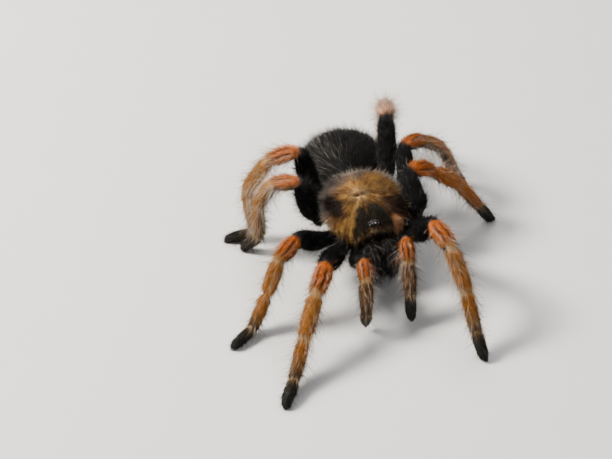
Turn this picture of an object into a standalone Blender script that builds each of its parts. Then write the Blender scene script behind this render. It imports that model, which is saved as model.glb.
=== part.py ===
"""A life-size, still model of an adult female red-legged tarantula (Brachypelma).

The spider faces -Y and stands on eight flat soles at Z = 0.  Lengths are in
millimetres in the tables and become metres through MM.  Every leg runs along one
smooth centre line, which thin cuts part at its joints.  All outlines include the
coat of hair.
"""
import math

import bmesh
import bpy
from mathutils import Matrix, Vector

MM = 0.001
GAP = 0.30              # clear space between neighbouring pieces
MERGE_WITHIN = 1e-6     # metres: points closer than this are one point
RING_SIDES = 10

# Attitude of the front body, whose own frame has -Y ahead, +X on the spider's left.
BODY_HEIGHT = 14.3
NOSE_DOWN = math.radians(11.8)
LEFT_SIDE_UP = math.radians(4.4)

# Carapace: a domed plate over the front body.
CARAPACE_HALF_LENGTH = 12.2
CARAPACE_HALF_WIDTH = 11.3
CARAPACE_FRONT = -10.3      # the oval is cut off here, where the jaws begin
CARAPACE_FLOOR = 0.6
CARAPACE_CROWN = 6.4
FRONT_BLUNTNESS = 6.0
REAR_BLUNTNESS = 2.4
HEAD_STARTS = -0.5
HEAD_SHARPNESS = 8.0
HEAD_NARROWING = 0.34
HEAD_RISE = 0.5
CARAPACE_SIDES = 15
CARAPACE_SECTIONS = 11

# Underside: the breastplate and the ten coxae that carry palps and legs.
UNDERSIDE_CENTRE = (0.0, -0.4, -3.3)
UNDERSIDE_HALF_SIZES = (7.6, 9.8, 3.0)
COXA_RADIUS = 2.2
COXA_INNER_SHARE = 0.30

# Abdomen: an egg on a narrow waist, hanging a little behind the front body.
WAIST_AT = (0.0, 11.6, -1.2)
WAIST_RADIUS = 1.7
ABDOMEN_CENTRE = (2.1, 24.0, 11.5)
ABDOMEN_HALF_LENGTH = 12.6
ABDOMEN_HALF_WIDTH = 12.8
ABDOMEN_HALF_HEIGHT = 10.2

# Jaws, eyes and spinnerets.
CHELICERA_OFFSET = 2.25
CHELICERA_LINE = ((-11.15, 0.2), (-12.6, 0.5), (-14.8, -0.5), (-16.2, -3.8), (-15.9, -7.8))
CHELICERA_RADII = (2.0, 2.12, 2.14, 2.12, 1.75)
FANG_LINE = ((-15.5, -9.0), (-14.2, -10.0), (-12.9, -9.4), (-12.35, -7.5))
FANG_RADII = (0.80, 0.72, 0.50, 0.26)
EYE_MOUND_AT = (-0.45, -8.7, 5.95)
EYE_MOUND_HALF_SIZES = (1.55, 1.15, 0.80)
EYES = ((0.50, -0.50, 0.62, 0.34), (1.18, -0.52, 0.42, 0.30),
        (0.72, 0.35, 0.60, 0.22), (1.24, 0.30, 0.40, 0.27))
SPINNERET_SPREAD = 1.3
SPINNERET_LENGTH = 5.2
SPINNERET_RADII = (0.85, 0.85, 0.70, 0.42)

# Coxa and trochanter ends of each limb on the left side, in the front body's frame.
COXA_ENDS = {1: (9.0, -8.2, -1.8), 2: (11.0, -3.7, -1.9), 3: (10.9, 3.7, -1.9),
             4: (8.6, 9.6, -1.7), "palp": (5.1, -10.1, -3.4)}
TROCHANTER_ENDS = {1: (11.7, -10.5, -1.2), 2: (14.4, -4.8, -1.3), 3: (14.0, 4.6, -1.3),
                   4: (11.0, 12.4, -1.1), "palp": (7.1, -12.8, -3.0)}

LEG_SEGMENTS = ("femur", "patella", "tibia", "metatarsus", "tarsus")
PALP_SEGMENTS = ("femur", "patella", "tibia", "tarsus")
LENGTHS = {1: (15.4, 9.2, 11.8, 10.8, 8.0), 2: (14.0, 8.4, 10.0, 10.2, 7.8),
           3: (12.8, 7.5, 8.8, 11.2, 7.8), 4: (15.4, 8.5, 11.8, 15.4, 8.6),
           "palp": (10.6, 7.0, 8.0, 7.2)}
THICKNESS = {1: 0.98, 2: 0.94, 3: 0.90, 4: 0.93, "palp": 0.76}
PALP_SWELLING = {"femur": 1.0, "patella": 1.08, "tibia": 1.18, "tarsus": 1.22}    # past its base

# Coat-tip radii along each segment: at its near joint, half way and at its far joint.
RADII = {"femur": (2.15, 3.10, 2.45), "patella": (2.35, 2.75, 2.35),
         "tibia": (2.30, 2.40, 2.05), "metatarsus": (2.05, 2.00, 1.85),
         "tarsus": (1.85, 2.05, 1.85)}
TIP_SHARES = ((0.0, 1.0), (0.5, 1.0), (0.85, 0.84), (1.0, 0.50))
SOLE_CUT = 0.38         # depth that the floor cuts off each foot, which leaves its flat sole

# Stance: the femur's heading from straight ahead towards the left, the further turn
# at the patella and from the tibia on, then the rise of each segment, in degrees.
# The tarsus of a leg has no rise of its own: it reaches down to the floor.
STANCE = {
    ("right", 1): (-28.5, -7.0, -6.5, (32.0, -15.0, -34.0, -37.0)),
    ("right", 2): (-50.0, -1.5, -8.0, (39.5, -6.5, -62.0, -54.5)),
    ("right", 3): (-84.0, -22.0, -34.0, (77.0, -4.0, -63.0, -93.0)),
    ("right", 4): (-88.0, -8.0, -13.0, (77.0, -14.0, -56.0, -98.0)),
    ("left", 1): (-1.5, 10.0, 9.0, (49.5, -5.0, -40.5, -55.5)),
    ("left", 2): (190.0, -97.0, -108.0, (51.5, -23.0, -37.0, -54.0)),
    ("left", 3): (170.0, -60.0, -68.0, (46.0, -15.0, -37.0, -66.0)),
    ("left", 4): (166.0, -5.0, -6.0, (54.0, -15.0, -47.0, -68.0)),
    ("right", "palp"): (-1.5, -13.0, -14.5, (43.0, -11.0, -42.5, -114.0)),
    ("left", "palp"): (-21.0, 9.0, 8.5, (58.0, -29.0, -53.0, -60.5)),
}
TROCHANTER_BEND = (2.6, 4.0)     # how far a bend reaches back and ahead of its corner
TIP_HALVINGS = 14
JOINT_BEND_SHARE = 0.36
BEND_ROOM = 1.22
JOINT_BEND_MOST = 3.4
SLIGHT_TURN = math.radians(28)
SHARP_TURN = math.radians(80)

COLOURS = {
    "black": (0.020, 0.017, 0.015), "orange": (0.55, 0.14, 0.03),
    "tan": (0.42, 0.20, 0.07), "brown": (0.20, 0.09, 0.03),
    "foot": (0.05, 0.045, 0.04), "fang": (0.03, 0.008, 0.005), "eye": (0.01, 0.01, 0.012),
}
SEGMENT_COLOURS = {"femur": "black", "patella": "orange", "tibia": "tan",
                   "metatarsus": "tan", "tarsus": "foot"}


def clear_scene():
    """Start from an empty scene."""
    for item in list(bpy.data.objects):
        bpy.data.objects.remove(item, do_unlink=True)


def material(name, roughness=0.75):
    """A plain shader in one of the named colours."""
    found = bpy.data.materials.get(name)
    if found:
        return found
    made = bpy.data.materials.new(name)
    made.use_nodes = True
    shader = made.node_tree.nodes["Principled BSDF"]
    shader.inputs["Base Color"].default_value = (*COLOURS[name], 1.0)
    shader.inputs["Roughness"].default_value = roughness
    shader.inputs["Metallic"].default_value = 0.0
    return made


def add_piece(name, mesh_builder, colour, roughness=0.75):
    """Turn a bmesh in millimetres into a named object of the tarantula."""
    bmesh.ops.transform(mesh_builder, matrix=Matrix.Scale(MM, 4), verts=mesh_builder.verts)
    bmesh.ops.recalc_face_normals(mesh_builder, faces=mesh_builder.faces)
    mesh = bpy.data.meshes.new(name)
    mesh_builder.to_mesh(mesh)
    mesh_builder.free()
    mesh.shade_smooth()
    mesh.materials.append(material(colour, roughness))
    piece = bpy.data.objects.new(name, mesh)
    PIECES.objects.link(piece)
    return piece


def body_matrix():
    """The front body's frame in the world, in millimetres."""
    return (Matrix.Translation((0.0, 0.0, BODY_HEIGHT))
            @ Matrix.Rotation(NOSE_DOWN, 4, "X")
            @ Matrix.Rotation(-LEFT_SIDE_UP, 4, "Y"))


def loft(rings):
    """Skin a row of rings, all with the same number of points, and close both ends."""
    made = bmesh.new()
    loops = [[made.verts.new(point) for point in ring] for ring in rings]
    count = len(loops[0])
    for near, far in zip(loops, loops[1:]):
        for i in range(count):
            j = (i + 1) % count
            made.faces.new((near[i], near[j], far[j], far[i]))
    made.faces.new(loops[0][::-1])
    made.faces.new(loops[-1])
    return made


def tube(centres, directions, radii, sides=RING_SIDES):
    """Round rings square to a line, carried along it without twisting."""
    side = directions[0].orthogonal().normalized()
    rings = []
    for centre, direction, radius in zip(centres, directions, radii):
        side = (side - direction * side.dot(direction)).normalized()
        up = direction.cross(side)
        turns = [2 * math.pi * i / sides for i in range(sides)]
        rings.append([centre + (side * math.cos(a) + up * math.sin(a)) * radius for a in turns])
    return loft(rings)


def smooth_directions(points):
    """The direction of a row of points at each of them."""
    last = len(points) - 1
    return [(points[min(i + 1, last)] - points[max(i - 1, 0)]).normalized()
            for i in range(last + 1)]


def fine_line(points, radii, steps=2):
    """A Catmull-Rom line through a few points, with the radii eased along with it."""
    centres, sizes = [], []
    ends = [2 * points[0] - points[1], *points, 2 * points[-1] - points[-2]]
    for i in range(len(points) - 1):
        a, b, c, d = ends[i:i + 4]
        for k in range(steps):
            t = k / steps
            centres.append(0.5 * (2 * b + (c - a) * t + (2 * a - 5 * b + 4 * c - d) * t * t
                                  + (3 * b - a - 3 * c + d) * t ** 3))
            sizes.append(radii[i] + (radii[i + 1] - radii[i]) * t)
    return centres + [points[-1]], sizes + [radii[-1]]


# ---------------------------------------------------------------- limbs

class Bend:
    """A rounded corner of a limb's centre line."""

    def __init__(self, before, corner, after, back, ahead):
        self.start = corner + (before - corner).normalized() * back
        self.corner = corner
        self.end = corner + (after - corner).normalized() * ahead
        self.turn = (corner - before).angle(after - corner)

    def at(self, t):
        """Place and direction, from t = 0 where the bend starts to 1 where it ends."""
        place = (1 - t) ** 2 * self.start + 2 * t * (1 - t) * self.corner + t * t * self.end
        ahead = (1 - t) * (self.corner - self.start) + t * (self.end - self.corner)
        return place, ahead.normalized()

    def steps(self):
        """Steps in half a bend; in a sharp one a second ring would cross the first."""
        return 2 if SLIGHT_TURN < self.turn < SHARP_TURN else 1


def limb_corners(side, number, tip_height):
    """Corners of a limb's centre line, from inside the coxa to a leg's tip at a height."""
    mirror = Vector((1 if side == "left" else -1, 1, 1))
    coxa_end = BODY @ (Vector(COXA_ENDS[number]) * mirror)
    trochanter_end = BODY @ (Vector(TROCHANTER_ENDS[number]) * mirror)
    inner = coxa_end + (coxa_end - trochanter_end).normalized() * 5.0
    corners = [inner, coxa_end, trochanter_end]
    heading, patella_turn, tibia_turn, rises = STANCE[side, number]
    turns = (0.0, patella_turn, tibia_turn, tibia_turn, tibia_turn)
    for i, length in enumerate(LENGTHS[number]):
        azimuth = math.radians(heading + turns[i])
        if i < len(rises):
            rise = math.radians(rises[i])
        else:
            rise = -math.asin(min(1.0, (corners[-1].z - tip_height) / length))
        level = math.cos(rise)
        corners.append(corners[-1] + length * Vector(
            (level * math.sin(azimuth), -level * math.cos(azimuth), math.sin(rise))))
    return corners


def limb_bends(corners, segments, thickness):
    """One bend at the trochanter and one at every joint past it, wide enough for its tube."""
    bends = [Bend(corners[1], corners[2], corners[3], *TROCHANTER_BEND)]
    for i, segment in zip(range(3, len(corners) - 1), segments):
        shortest = min((corners[i] - corners[i - 1]).length, (corners[i + 1] - corners[i]).length)
        turn = (corners[i] - corners[i - 1]).angle(corners[i + 1] - corners[i])
        room = BEND_ROOM * RADII[segment][2] * thickness[segment] * math.tan(turn / 2)
        reach = max(min(JOINT_BEND_MOST, JOINT_BEND_SHARE * shortest), room)
        bends.append(Bend(corners[i - 1], corners[i], corners[i + 1], reach, reach))
    return bends


def half_bend(bend, first_half):
    """Stations from a bend's start to its middle, or from its middle to its end."""
    count = bend.steps()
    shares = [0.5 * k / count for k in range(count + 1)]
    return [bend.at(t if first_half else 0.5 + t) for t in shares]


def segment_stations(bends, index, corners):
    """Places and directions along one segment, cut square at the joints it reaches."""
    if index == 0:
        start = corners[1]
        along = (corners[2] - corners[1]).normalized()
        stations = [(start, along)]
        trochanter = bends[0]
        stations += [trochanter.at(t / 4) for t in range(5)]
    else:
        stations = half_bend(bends[index], False)
    if index + 1 < len(bends):
        far = half_bend(bends[index + 1], True)
    else:
        tip, direction = corners[-1], (corners[-1] - corners[-2]).normalized()
        start = stations[-1][0]
        span = tip - start
        far = [(start + span * (0.55 + 0.45 * share), direction) for share, _ in TIP_SHARES]
    middle_start, middle_end = stations[-1][0], far[0][0]
    straight = (middle_end - middle_start).normalized()
    stations.append((middle_start.lerp(middle_end, 0.5), straight))
    stations += far
    return stations


def inset_ends(stations, is_tip):
    """Draw the cut ends back by half the clear gap."""
    (first, start_way), (last, end_way) = stations[0], stations[-1]
    stations[0] = (first + start_way * GAP / 2, start_way)
    if not is_tip:
        stations[-1] = (last - end_way * GAP / 2, end_way)
    return stations


def eased_radius(segment, share):
    """Radius at a share of the segment's length: smooth through its three sizes."""
    near, middle, far = RADII[segment]
    if share < 0.5:
        return near + (middle - near) * math.sin(math.pi * share)
    return far + (middle - far) * math.sin(math.pi * share)


def segment_mesh(segment, stations, thickness, is_tip):
    """The solid of one limb segment."""
    places = [place for place, _ in stations]
    run = [0.0]
    for a, b in zip(places, places[1:]):
        run.append(run[-1] + (b - a).length)
    radii = [eased_radius(segment, s / run[-1]) * thickness for s in run]
    if is_tip:
        for i, (_, share) in enumerate(TIP_SHARES):
            radii[len(radii) - len(TIP_SHARES) + i] = RADII[segment][2] * thickness * share
    return tube(places, [way for _, way in stations], radii)


def flatten_sole(made):
    """Cut a foot flat at the floor, so that it stands."""
    geometry = made.verts[:] + made.edges[:] + made.faces[:]
    cut = bmesh.ops.bisect_plane(made, geom=geometry, plane_co=(0, 0, 0),
                                 plane_no=(0, 0, -1), clear_outer=True)
    rim = [item for item in cut["geom_cut"] if isinstance(item, bmesh.types.BMEdge)]
    bmesh.ops.holes_fill(made, edges=rim)


def limb_name(side, number):
    """A limb's name, such as leg_left_1 or palp_right."""
    return f"palp_{side}" if number == "palp" else f"leg_{side}_{number}"


def limb_meshes(side, number, tip_height=0.0):
    """The solid of each segment of one limb, whose tip has its centre at a height."""
    corners = limb_corners(side, number, tip_height)
    segments = PALP_SEGMENTS if number == "palp" else LEG_SEGMENTS
    thickness = {segment: THICKNESS[number] for segment in segments}
    if number == "palp":
        thickness = {segment: THICKNESS[number] * PALP_SWELLING[segment] for segment in segments}
    bends = limb_bends(corners, segments, thickness)
    made = {}
    for index, segment in enumerate(segments):
        is_tip = index == len(segments) - 1
        stations = inset_ends(segment_stations(bends, index, corners), is_tip)
        made[segment] = segment_mesh(segment, stations, thickness[segment], is_tip)
    return made


def settled_tip_height(side, number):
    """The tip height at which a foot dips SOLE_CUT into the floor, found by halving."""
    low, high = -1.0, 2.0
    for _ in range(TIP_HALVINGS):
        middle = (low + high) / 2
        made = limb_meshes(side, number, middle)
        dip = -min(point.co.z for point in made["tarsus"].verts)
        for mesh in made.values():
            mesh.free()
        low, high = (middle, high) if dip > SOLE_CUT else (low, middle)
    return (low + high) / 2


def build_limb(side, number):
    """All segments of one leg or palp."""
    is_leg = number != "palp"
    tip_height = settled_tip_height(side, number) if is_leg else 0.0
    for segment, made in limb_meshes(side, number, tip_height).items():
        if is_leg and segment == "tarsus":
            flatten_sole(made)
        add_piece(f"{limb_name(side, number)}_{segment}", made, SEGMENT_COLOURS[segment])


# ---------------------------------------------------------------- front body

def carapace_half_width(y):
    """Half width of the carapace at a place along it: broad behind, narrow at the head."""
    share = y / CARAPACE_HALF_LENGTH
    blunt = FRONT_BLUNTNESS if share < 0 else REAR_BLUNTNESS
    oval = math.sqrt(max(0.0, 1.0 - abs(share) ** blunt))
    narrowing = 1.0 / (1.0 + math.exp((share - HEAD_STARTS) * HEAD_SHARPNESS))
    return CARAPACE_HALF_WIDTH * oval * (1.0 - HEAD_NARROWING * narrowing)


def carapace_height(y):
    """Height of the carapace's middle line above its floor."""
    share = y / CARAPACE_HALF_LENGTH
    dome = math.sqrt(max(0.0, 1.0 - abs(share) ** 3.4))
    head = math.exp(-((share - HEAD_STARTS) / 0.3) ** 2)
    return (CARAPACE_CROWN - CARAPACE_FLOOR) * dome + HEAD_RISE * head


def carapace_section(y):
    """A flat-bottomed arch across the carapace."""
    half, height = carapace_half_width(y), carapace_height(y)
    points = []
    for i in range(CARAPACE_SIDES):
        turn = math.pi * i / (CARAPACE_SIDES - 1)
        x, z = math.cos(turn), math.sin(turn) ** 0.8
        points.append(Vector((half * x, y, CARAPACE_FLOOR + 0.3 + height * z)))
    points[0].z = CARAPACE_FLOOR
    points[-1].z = CARAPACE_FLOOR
    return points


def build_carapace():
    """The domed back plate of the front body."""
    first = math.acos(-CARAPACE_FRONT / CARAPACE_HALF_LENGTH)
    last = 0.96 * math.pi
    rings = []
    for i in range(CARAPACE_SECTIONS):
        turn = first + (last - first) * i / (CARAPACE_SECTIONS - 1)
        rings.append(carapace_section(-CARAPACE_HALF_LENGTH * math.cos(turn)))
    made = loft(rings)
    made.transform(BODY)
    add_piece("carapace", made, "brown")


def ellipsoid(half_sizes, segments, rings):
    """An ellipsoid about the origin."""
    made = bmesh.new()
    bmesh.ops.create_uvsphere(made, u_segments=segments, v_segments=rings, radius=1.0)
    bmesh.ops.scale(made, vec=half_sizes, verts=made.verts)
    return made


def coxa_mesh(side, number):
    """The base of one limb, from under the body's middle to its trochanter."""
    corners = limb_corners(side, number, 0.0)
    end = corners[1]
    way = (corners[2] - corners[1]).normalized()
    middle = BODY @ Vector(UNDERSIDE_CENTRE)
    start = middle.lerp(end, COXA_INNER_SHARE)
    thickness = THICKNESS[number] * COXA_RADIUS
    centres = [start, start.lerp(end - way * 2.6, 0.5), end - way * 2.6, end - way * GAP / 2]
    radii = [thickness, thickness * 1.1, thickness, RADII["femur"][0] * THICKNESS[number]]
    directions = smooth_directions(centres)
    directions[-1] = way
    return tube(centres, directions, radii, sides=8)


def unite(base, cutters, operation):
    """Join or cut meshes with an exact boolean and drop the tools."""
    for cutter in cutters:
        cutter.hide_render = True
        cutter.display_type = "WIRE"
        step = base.modifiers.new(operation.title(), "BOOLEAN")
        step.operation = operation
        step.solver = "EXACT"
        step.object = cutter
    graph = bpy.context.evaluated_depsgraph_get()
    mesh = bpy.data.meshes.new_from_object(base.evaluated_get(graph))
    base.modifiers.clear()
    tidy = bmesh.new()
    tidy.from_mesh(mesh)
    bmesh.ops.remove_doubles(tidy, verts=tidy.verts, dist=MERGE_WITHIN)
    bmesh.ops.dissolve_degenerate(tidy, edges=tidy.edges, dist=MERGE_WITHIN)
    tidy.to_mesh(mesh)
    tidy.free()
    base.data = mesh
    for cutter in cutters:
        bpy.data.objects.remove(cutter, do_unlink=True)


def build_underside():
    """Breastplate and the ten coxae, in one piece under the carapace."""
    made = ellipsoid(UNDERSIDE_HALF_SIZES, 14, 7)
    bmesh.ops.translate(made, vec=UNDERSIDE_CENTRE, verts=made.verts)
    made.transform(BODY)
    base = add_piece("prosoma_underside", made, "black")
    coxae = [add_piece(f"coxa_{side}_{number}", coxa_mesh(side, number), "black")
             for side in ("left", "right") for number in COXA_ENDS]
    unite(base, coxae, "UNION")
    cover = bmesh.new()
    bmesh.ops.create_cube(cover, size=1.0)
    bmesh.ops.scale(cover, vec=(40.0, 60.0, 10.0), verts=cover.verts)
    lift = CARAPACE_FLOOR - GAP + 5.0
    bmesh.ops.translate(cover, vec=(0.0, 0.0, lift), verts=cover.verts)
    cover.transform(BODY)
    unite(base, [add_piece("cover", cover, "black")], "DIFFERENCE")


def build_chelicera(side):
    """One jaw: a stout arched block ahead of the carapace."""
    x = CHELICERA_OFFSET * (1 if side == "left" else -1)
    points = [BODY @ Vector((x, y, z)) for y, z in CHELICERA_LINE]
    centres, radii = fine_line(points, CHELICERA_RADII)
    made = tube(centres, smooth_directions(centres), radii)
    add_piece(f"chelicera_{side}", made, "black")


def build_fang(side):
    """One fang, folded back under its jaw."""
    x = CHELICERA_OFFSET * (1 if side == "left" else -1)
    points = [BODY @ Vector((x, y, z)) for y, z in FANG_LINE]
    centres, radii = fine_line(points, FANG_RADII)
    made = tube(centres, smooth_directions(centres), radii, sides=8)
    add_piece(f"fang_{side}", made, "fang", 0.25)


def build_eye_mound():
    """The small turret near the front edge with the eight eyes on it."""
    mound = ellipsoid(EYE_MOUND_HALF_SIZES, 12, 6)
    base = add_piece("eye_mound", mound, "eye", 0.2)
    eyes = []
    for side in (1, -1):
        for i, (x, y, z, radius) in enumerate(EYES):
            eye = ellipsoid((radius, radius, radius), 6, 4)
            bmesh.ops.translate(eye, vec=(side * x, y, z), verts=eye.verts)
            eyes.append(add_piece(f"eye_{side + 1}_{i}", eye, "eye", 0.2))
    unite(base, eyes, "UNION")
    place = Matrix.Translation(Vector(EYE_MOUND_AT) * MM)
    scale = Matrix.Scale(MM, 4)
    base.data.transform(scale @ BODY @ scale.inverted() @ place)
    socket = ellipsoid([size + GAP for size in EYE_MOUND_HALF_SIZES], 12, 8)
    bmesh.ops.translate(socket, vec=EYE_MOUND_AT, verts=socket.verts)
    socket.transform(BODY)
    carapace = bpy.data.objects["carapace"]
    unite(carapace, [add_piece("socket", socket, "eye")], "DIFFERENCE")


# ---------------------------------------------------------------- hind body

def abdomen_frame():
    """The abdomen's frame: +Y runs backward along it."""
    waist = BODY @ Vector(WAIST_AT)
    back = (Vector(ABDOMEN_CENTRE) - waist).normalized()
    left = back.cross(Vector((0, 0, 1))).normalized()
    up = left.cross(back)
    turned = Matrix((left, back, up)).transposed().to_4x4()
    return Matrix.Translation(ABDOMEN_CENTRE) @ turned


def build_abdomen():
    """The plump hind body."""
    made = ellipsoid((1, 1, 1), 18, 12)
    bmesh.ops.rotate(made, matrix=Matrix.Rotation(math.pi / 2, 3, "X"), verts=made.verts)
    for point in made.verts:
        along = point.co.y
        fullness = 1.0 + 0.07 * along * (1.0 - along * along)
        point.co.x *= ABDOMEN_HALF_WIDTH * fullness
        point.co.z *= ABDOMEN_HALF_HEIGHT * fullness
        point.co.y *= ABDOMEN_HALF_LENGTH
    made.transform(abdomen_frame())
    add_piece("abdomen", made, "black")


def build_waist():
    """The narrow stalk between the two halves of the body."""
    start = BODY @ Vector((WAIST_AT[0], WAIST_AT[1] - 4.0, WAIST_AT[2] - 0.8))
    end = abdomen_frame() @ Vector((0, 2.0 - ABDOMEN_HALF_LENGTH, 0))
    centres = [start.lerp(end, t / 3) for t in range(4)]
    piece = add_piece("waist", tube(centres, smooth_directions(centres), [WAIST_RADIUS] * 4), "black")
    cutters = []
    for name in ("abdomen", "prosoma_underside"):
        grown = bpy.data.objects[name].data.copy()
        swell = bmesh.new()
        swell.from_mesh(grown)
        bmesh.ops.scale(swell, vec=(1 / MM,) * 3, verts=swell.verts)
        swell.normal_update()
        for point in swell.verts:
            point.co += point.normal * GAP
        cutters.append(add_piece(f"grown_{name}", swell, "black"))
        bpy.data.meshes.remove(grown)
    unite(piece, cutters, "DIFFERENCE")


def build_spinneret(side):
    """One of the two finger-like silk spinners at the abdomen's end."""
    sign = 1 if side == "left" else -1
    frame = abdomen_frame()
    root = Vector((sign * SPINNERET_SPREAD, ABDOMEN_HALF_LENGTH + 0.1, -2.4))
    way = Vector((sign * 0.22, 1.0, 0.10)).normalized()
    count = len(SPINNERET_RADII) - 1
    centres = [frame @ (root + way * SPINNERET_LENGTH * k / count) for k in range(count + 1)]
    made = tube(centres, smooth_directions(centres), SPINNERET_RADII, sides=8)
    add_piece(f"spinneret_{side}", made, "foot")


def centre_on_floor():
    """Slide the spider along the floor until its outline is centred on the origin."""
    points = [point.co for piece in PIECES.objects for point in piece.data.vertices]
    middle_x = (min(p.x for p in points) + max(p.x for p in points)) / 2
    middle_y = (min(p.y for p in points) + max(p.y for p in points)) / 2
    for piece in PIECES.objects:
        piece.data.transform(Matrix.Translation((-middle_x, -middle_y, 0.0)))


def main():
    """Build every piece."""
    build_carapace()
    build_underside()
    build_eye_mound()
    build_abdomen()
    build_waist()
    for side in ("left", "right"):
        build_chelicera(side)
        build_fang(side)
        build_spinneret(side)
    for side, number in STANCE:
        build_limb(side, number)
    centre_on_floor()


clear_scene()
BODY = body_matrix()
PIECES = bpy.data.collections.new("tarantula")
bpy.context.scene.collection.children.link(PIECES)
main()
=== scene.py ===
"""The looks of a life-size, still tarantula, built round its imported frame.

One skin replaces the flesh of the frame and lies inside it.  A coat of solid
mesh hairs grows from that skin in layers: a short close pile, longer hairs
over it, and sparse bristles that stand off.  Lengths here are millimetres and
become metres when a mesh is made.
"""
import math
from collections import namedtuple

import bmesh
import bpy
import numpy as np
from mathutils import Matrix, Vector
from mathutils.bvhtree import BVHTree


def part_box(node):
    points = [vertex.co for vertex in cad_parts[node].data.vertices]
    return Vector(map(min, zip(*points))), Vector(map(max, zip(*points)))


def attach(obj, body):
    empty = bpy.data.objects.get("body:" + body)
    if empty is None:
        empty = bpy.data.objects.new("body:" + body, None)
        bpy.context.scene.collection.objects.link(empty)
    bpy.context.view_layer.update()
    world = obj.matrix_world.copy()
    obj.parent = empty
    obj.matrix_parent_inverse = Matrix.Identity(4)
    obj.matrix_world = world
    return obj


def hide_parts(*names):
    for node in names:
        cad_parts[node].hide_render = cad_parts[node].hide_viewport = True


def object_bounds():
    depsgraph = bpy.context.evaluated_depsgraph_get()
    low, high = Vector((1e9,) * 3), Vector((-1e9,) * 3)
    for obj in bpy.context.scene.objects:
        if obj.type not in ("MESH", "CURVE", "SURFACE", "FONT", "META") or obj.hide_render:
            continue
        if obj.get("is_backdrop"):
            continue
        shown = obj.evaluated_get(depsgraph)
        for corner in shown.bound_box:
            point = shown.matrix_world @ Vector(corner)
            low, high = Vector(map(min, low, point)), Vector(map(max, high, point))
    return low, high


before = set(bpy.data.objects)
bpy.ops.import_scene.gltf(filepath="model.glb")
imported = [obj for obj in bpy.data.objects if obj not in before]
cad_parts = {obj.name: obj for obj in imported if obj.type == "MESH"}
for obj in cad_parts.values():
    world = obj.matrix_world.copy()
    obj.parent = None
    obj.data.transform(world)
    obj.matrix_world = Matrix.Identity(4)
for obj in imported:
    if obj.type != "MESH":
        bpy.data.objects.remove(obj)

low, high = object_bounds()

MM = 0.001
TINY = 1e-9                 # keeps a division away from zero
SEED = 20
SEGMENTS = ("femur", "patella", "tibia", "metatarsus", "tarsus")
SIDES = {"left": 1, "right": -1}
LIMBS = tuple(f"leg_{side}_{number}" for side in SIDES for number in (1, 2, 3, 4))
LIMBS += ("palp_left", "palp_right")

# ---- camera: where it looks, from a little under the carapace, in degrees and millimetres
CAMERA_BASE_DROP = 0.6
CAMERA_TARGET = (-12.09, 13.95)
CAMERA_AZIMUTH = -17.67
CAMERA_ELEVATION = 40.29
CAMERA_DISTANCE = 441.4
CAMERA_LENS = 92.6
CAMERA_SENSOR = 36

# ---- stage: each light's bearing and height in degrees, distance and width in metres,
# power and colour; then the room and the floor
LIGHTS = {"key": (-112, 42, 0.9, 0.24, 23, (1.0, 0.95, 0.88)),
          "fill": (35, 50, 1.2, 0.9, 3.5, (0.95, 0.97, 1.0)),
          "back": (170, 50, 1.0, 0.5, 6, (1.0, 0.98, 0.95))}
LIGHT_TARGET = (0, 0, 0.01)     # in metres
ROOM_COLOUR = (0.9, 0.93, 1.0, 1)
ROOM_STRENGTH = 0.24
FLOOR_COLOUR = (0.74, 0.73, 0.71)
FLOOR_HALF_WIDTH = 6000.0

# ---- tracing the frame
FLAT_FACING = 0.9           # how nearly straight down the carapace's flat underside faces
CARAPACE_ROUNDNESS = 1.078  # length over width of the carapace's oval, before its front is cut
CARAPACE_FRONT = 0.85       # where the front edge lies, as a share of the half length
FACING_REACH = 0.35         # how far past the narrowest gap a mesh still faces its neighbour
FEWEST_CUT_FACES = 4        # a plane that cuts fewer triangles has left the node
TRACE_STEP = 0.8
TRACE_END = 0.8             # the walk ends when less than this share of a step is left
TRACE_LIMIT = 60            # more steps than any node needs
TRACE_STEADINESS = 0.4      # share of the old direction kept at each step
STATION_STEP = 0.5          # between the stations down a limb
ROOT_REACH = 2.6            # how far a limb runs on into the body
ROOT_PLACE = -0.25          # where that end counts as lying, in segments
TIP_SHARE = 0.75            # a limb's radius at its very tip, as a share
LOCATE_BLOCK = 4000         # points that are looked up at one time
ODD_WAY = (0.31, 0.84, 0.44)    # a direction that no small tube starts in

# ---- skin
TUBE_SIDES = 18
LIMB_COAT_DEPTH = 0.42      # from the frame's surface down to the skin
BODY_COAT_DEPTHS = {"carapace": 0.30, "prosoma_underside": 0.4, "abdomen": 0.55,
                    "chelicera_left": 0.25, "chelicera_right": 0.25}
JOINT_NARROWING, JOINT_WIDTH = 0.13, 0.07       # as shares of the radius and of a segment
TIP_ROUNDING = 0.8          # how far from its end a limb starts to narrow
NODE_VOXEL, NODE_SMOOTHING = 0.6, 8
SKIN_VOXEL, SKIN_SMOOTHING = 0.37, 4
WELD = 0.002                # corners this near are one
LOWEST_SKIN, LOWEST_HAIR = 0.05, 0.02           # heights over the floor
# Flesh that joins the nodes, in the front body's own axes; the jaw's root is the left one
CORE_MIDDLE, CORE_HALF = (0, 0.4, 0.2), (8.2, 9.3, 2.2)
JAW_ROOT, JAW_RADIUS = (1.9, -8.5, -0.3), 1.5
WAIST_FRONT, WAIST_RADIUS = (0, 8.5, -2.0), 1.4
MOUND_HALF = (1.35, 1.0, 0.75)
ABDOMEN_CORE = 8            # where its stumps start, from the abdomen's middle
SPINNERET_REACH = 0.8       # from its middle to its ends, as a share of half its box's diagonal
SPINNERET_RADII = (0.6, 0.62, 0.58, 0.28)
PIT_DEPTH, RAY_DEPTH, HEAD_GROOVE_DEPTH = 0.9, 0.30, 0.40

MOTTLE_WAVES, MOTTLE_PITCH, MOTTLE_SUM = 7, 2.2, 3.2

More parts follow.
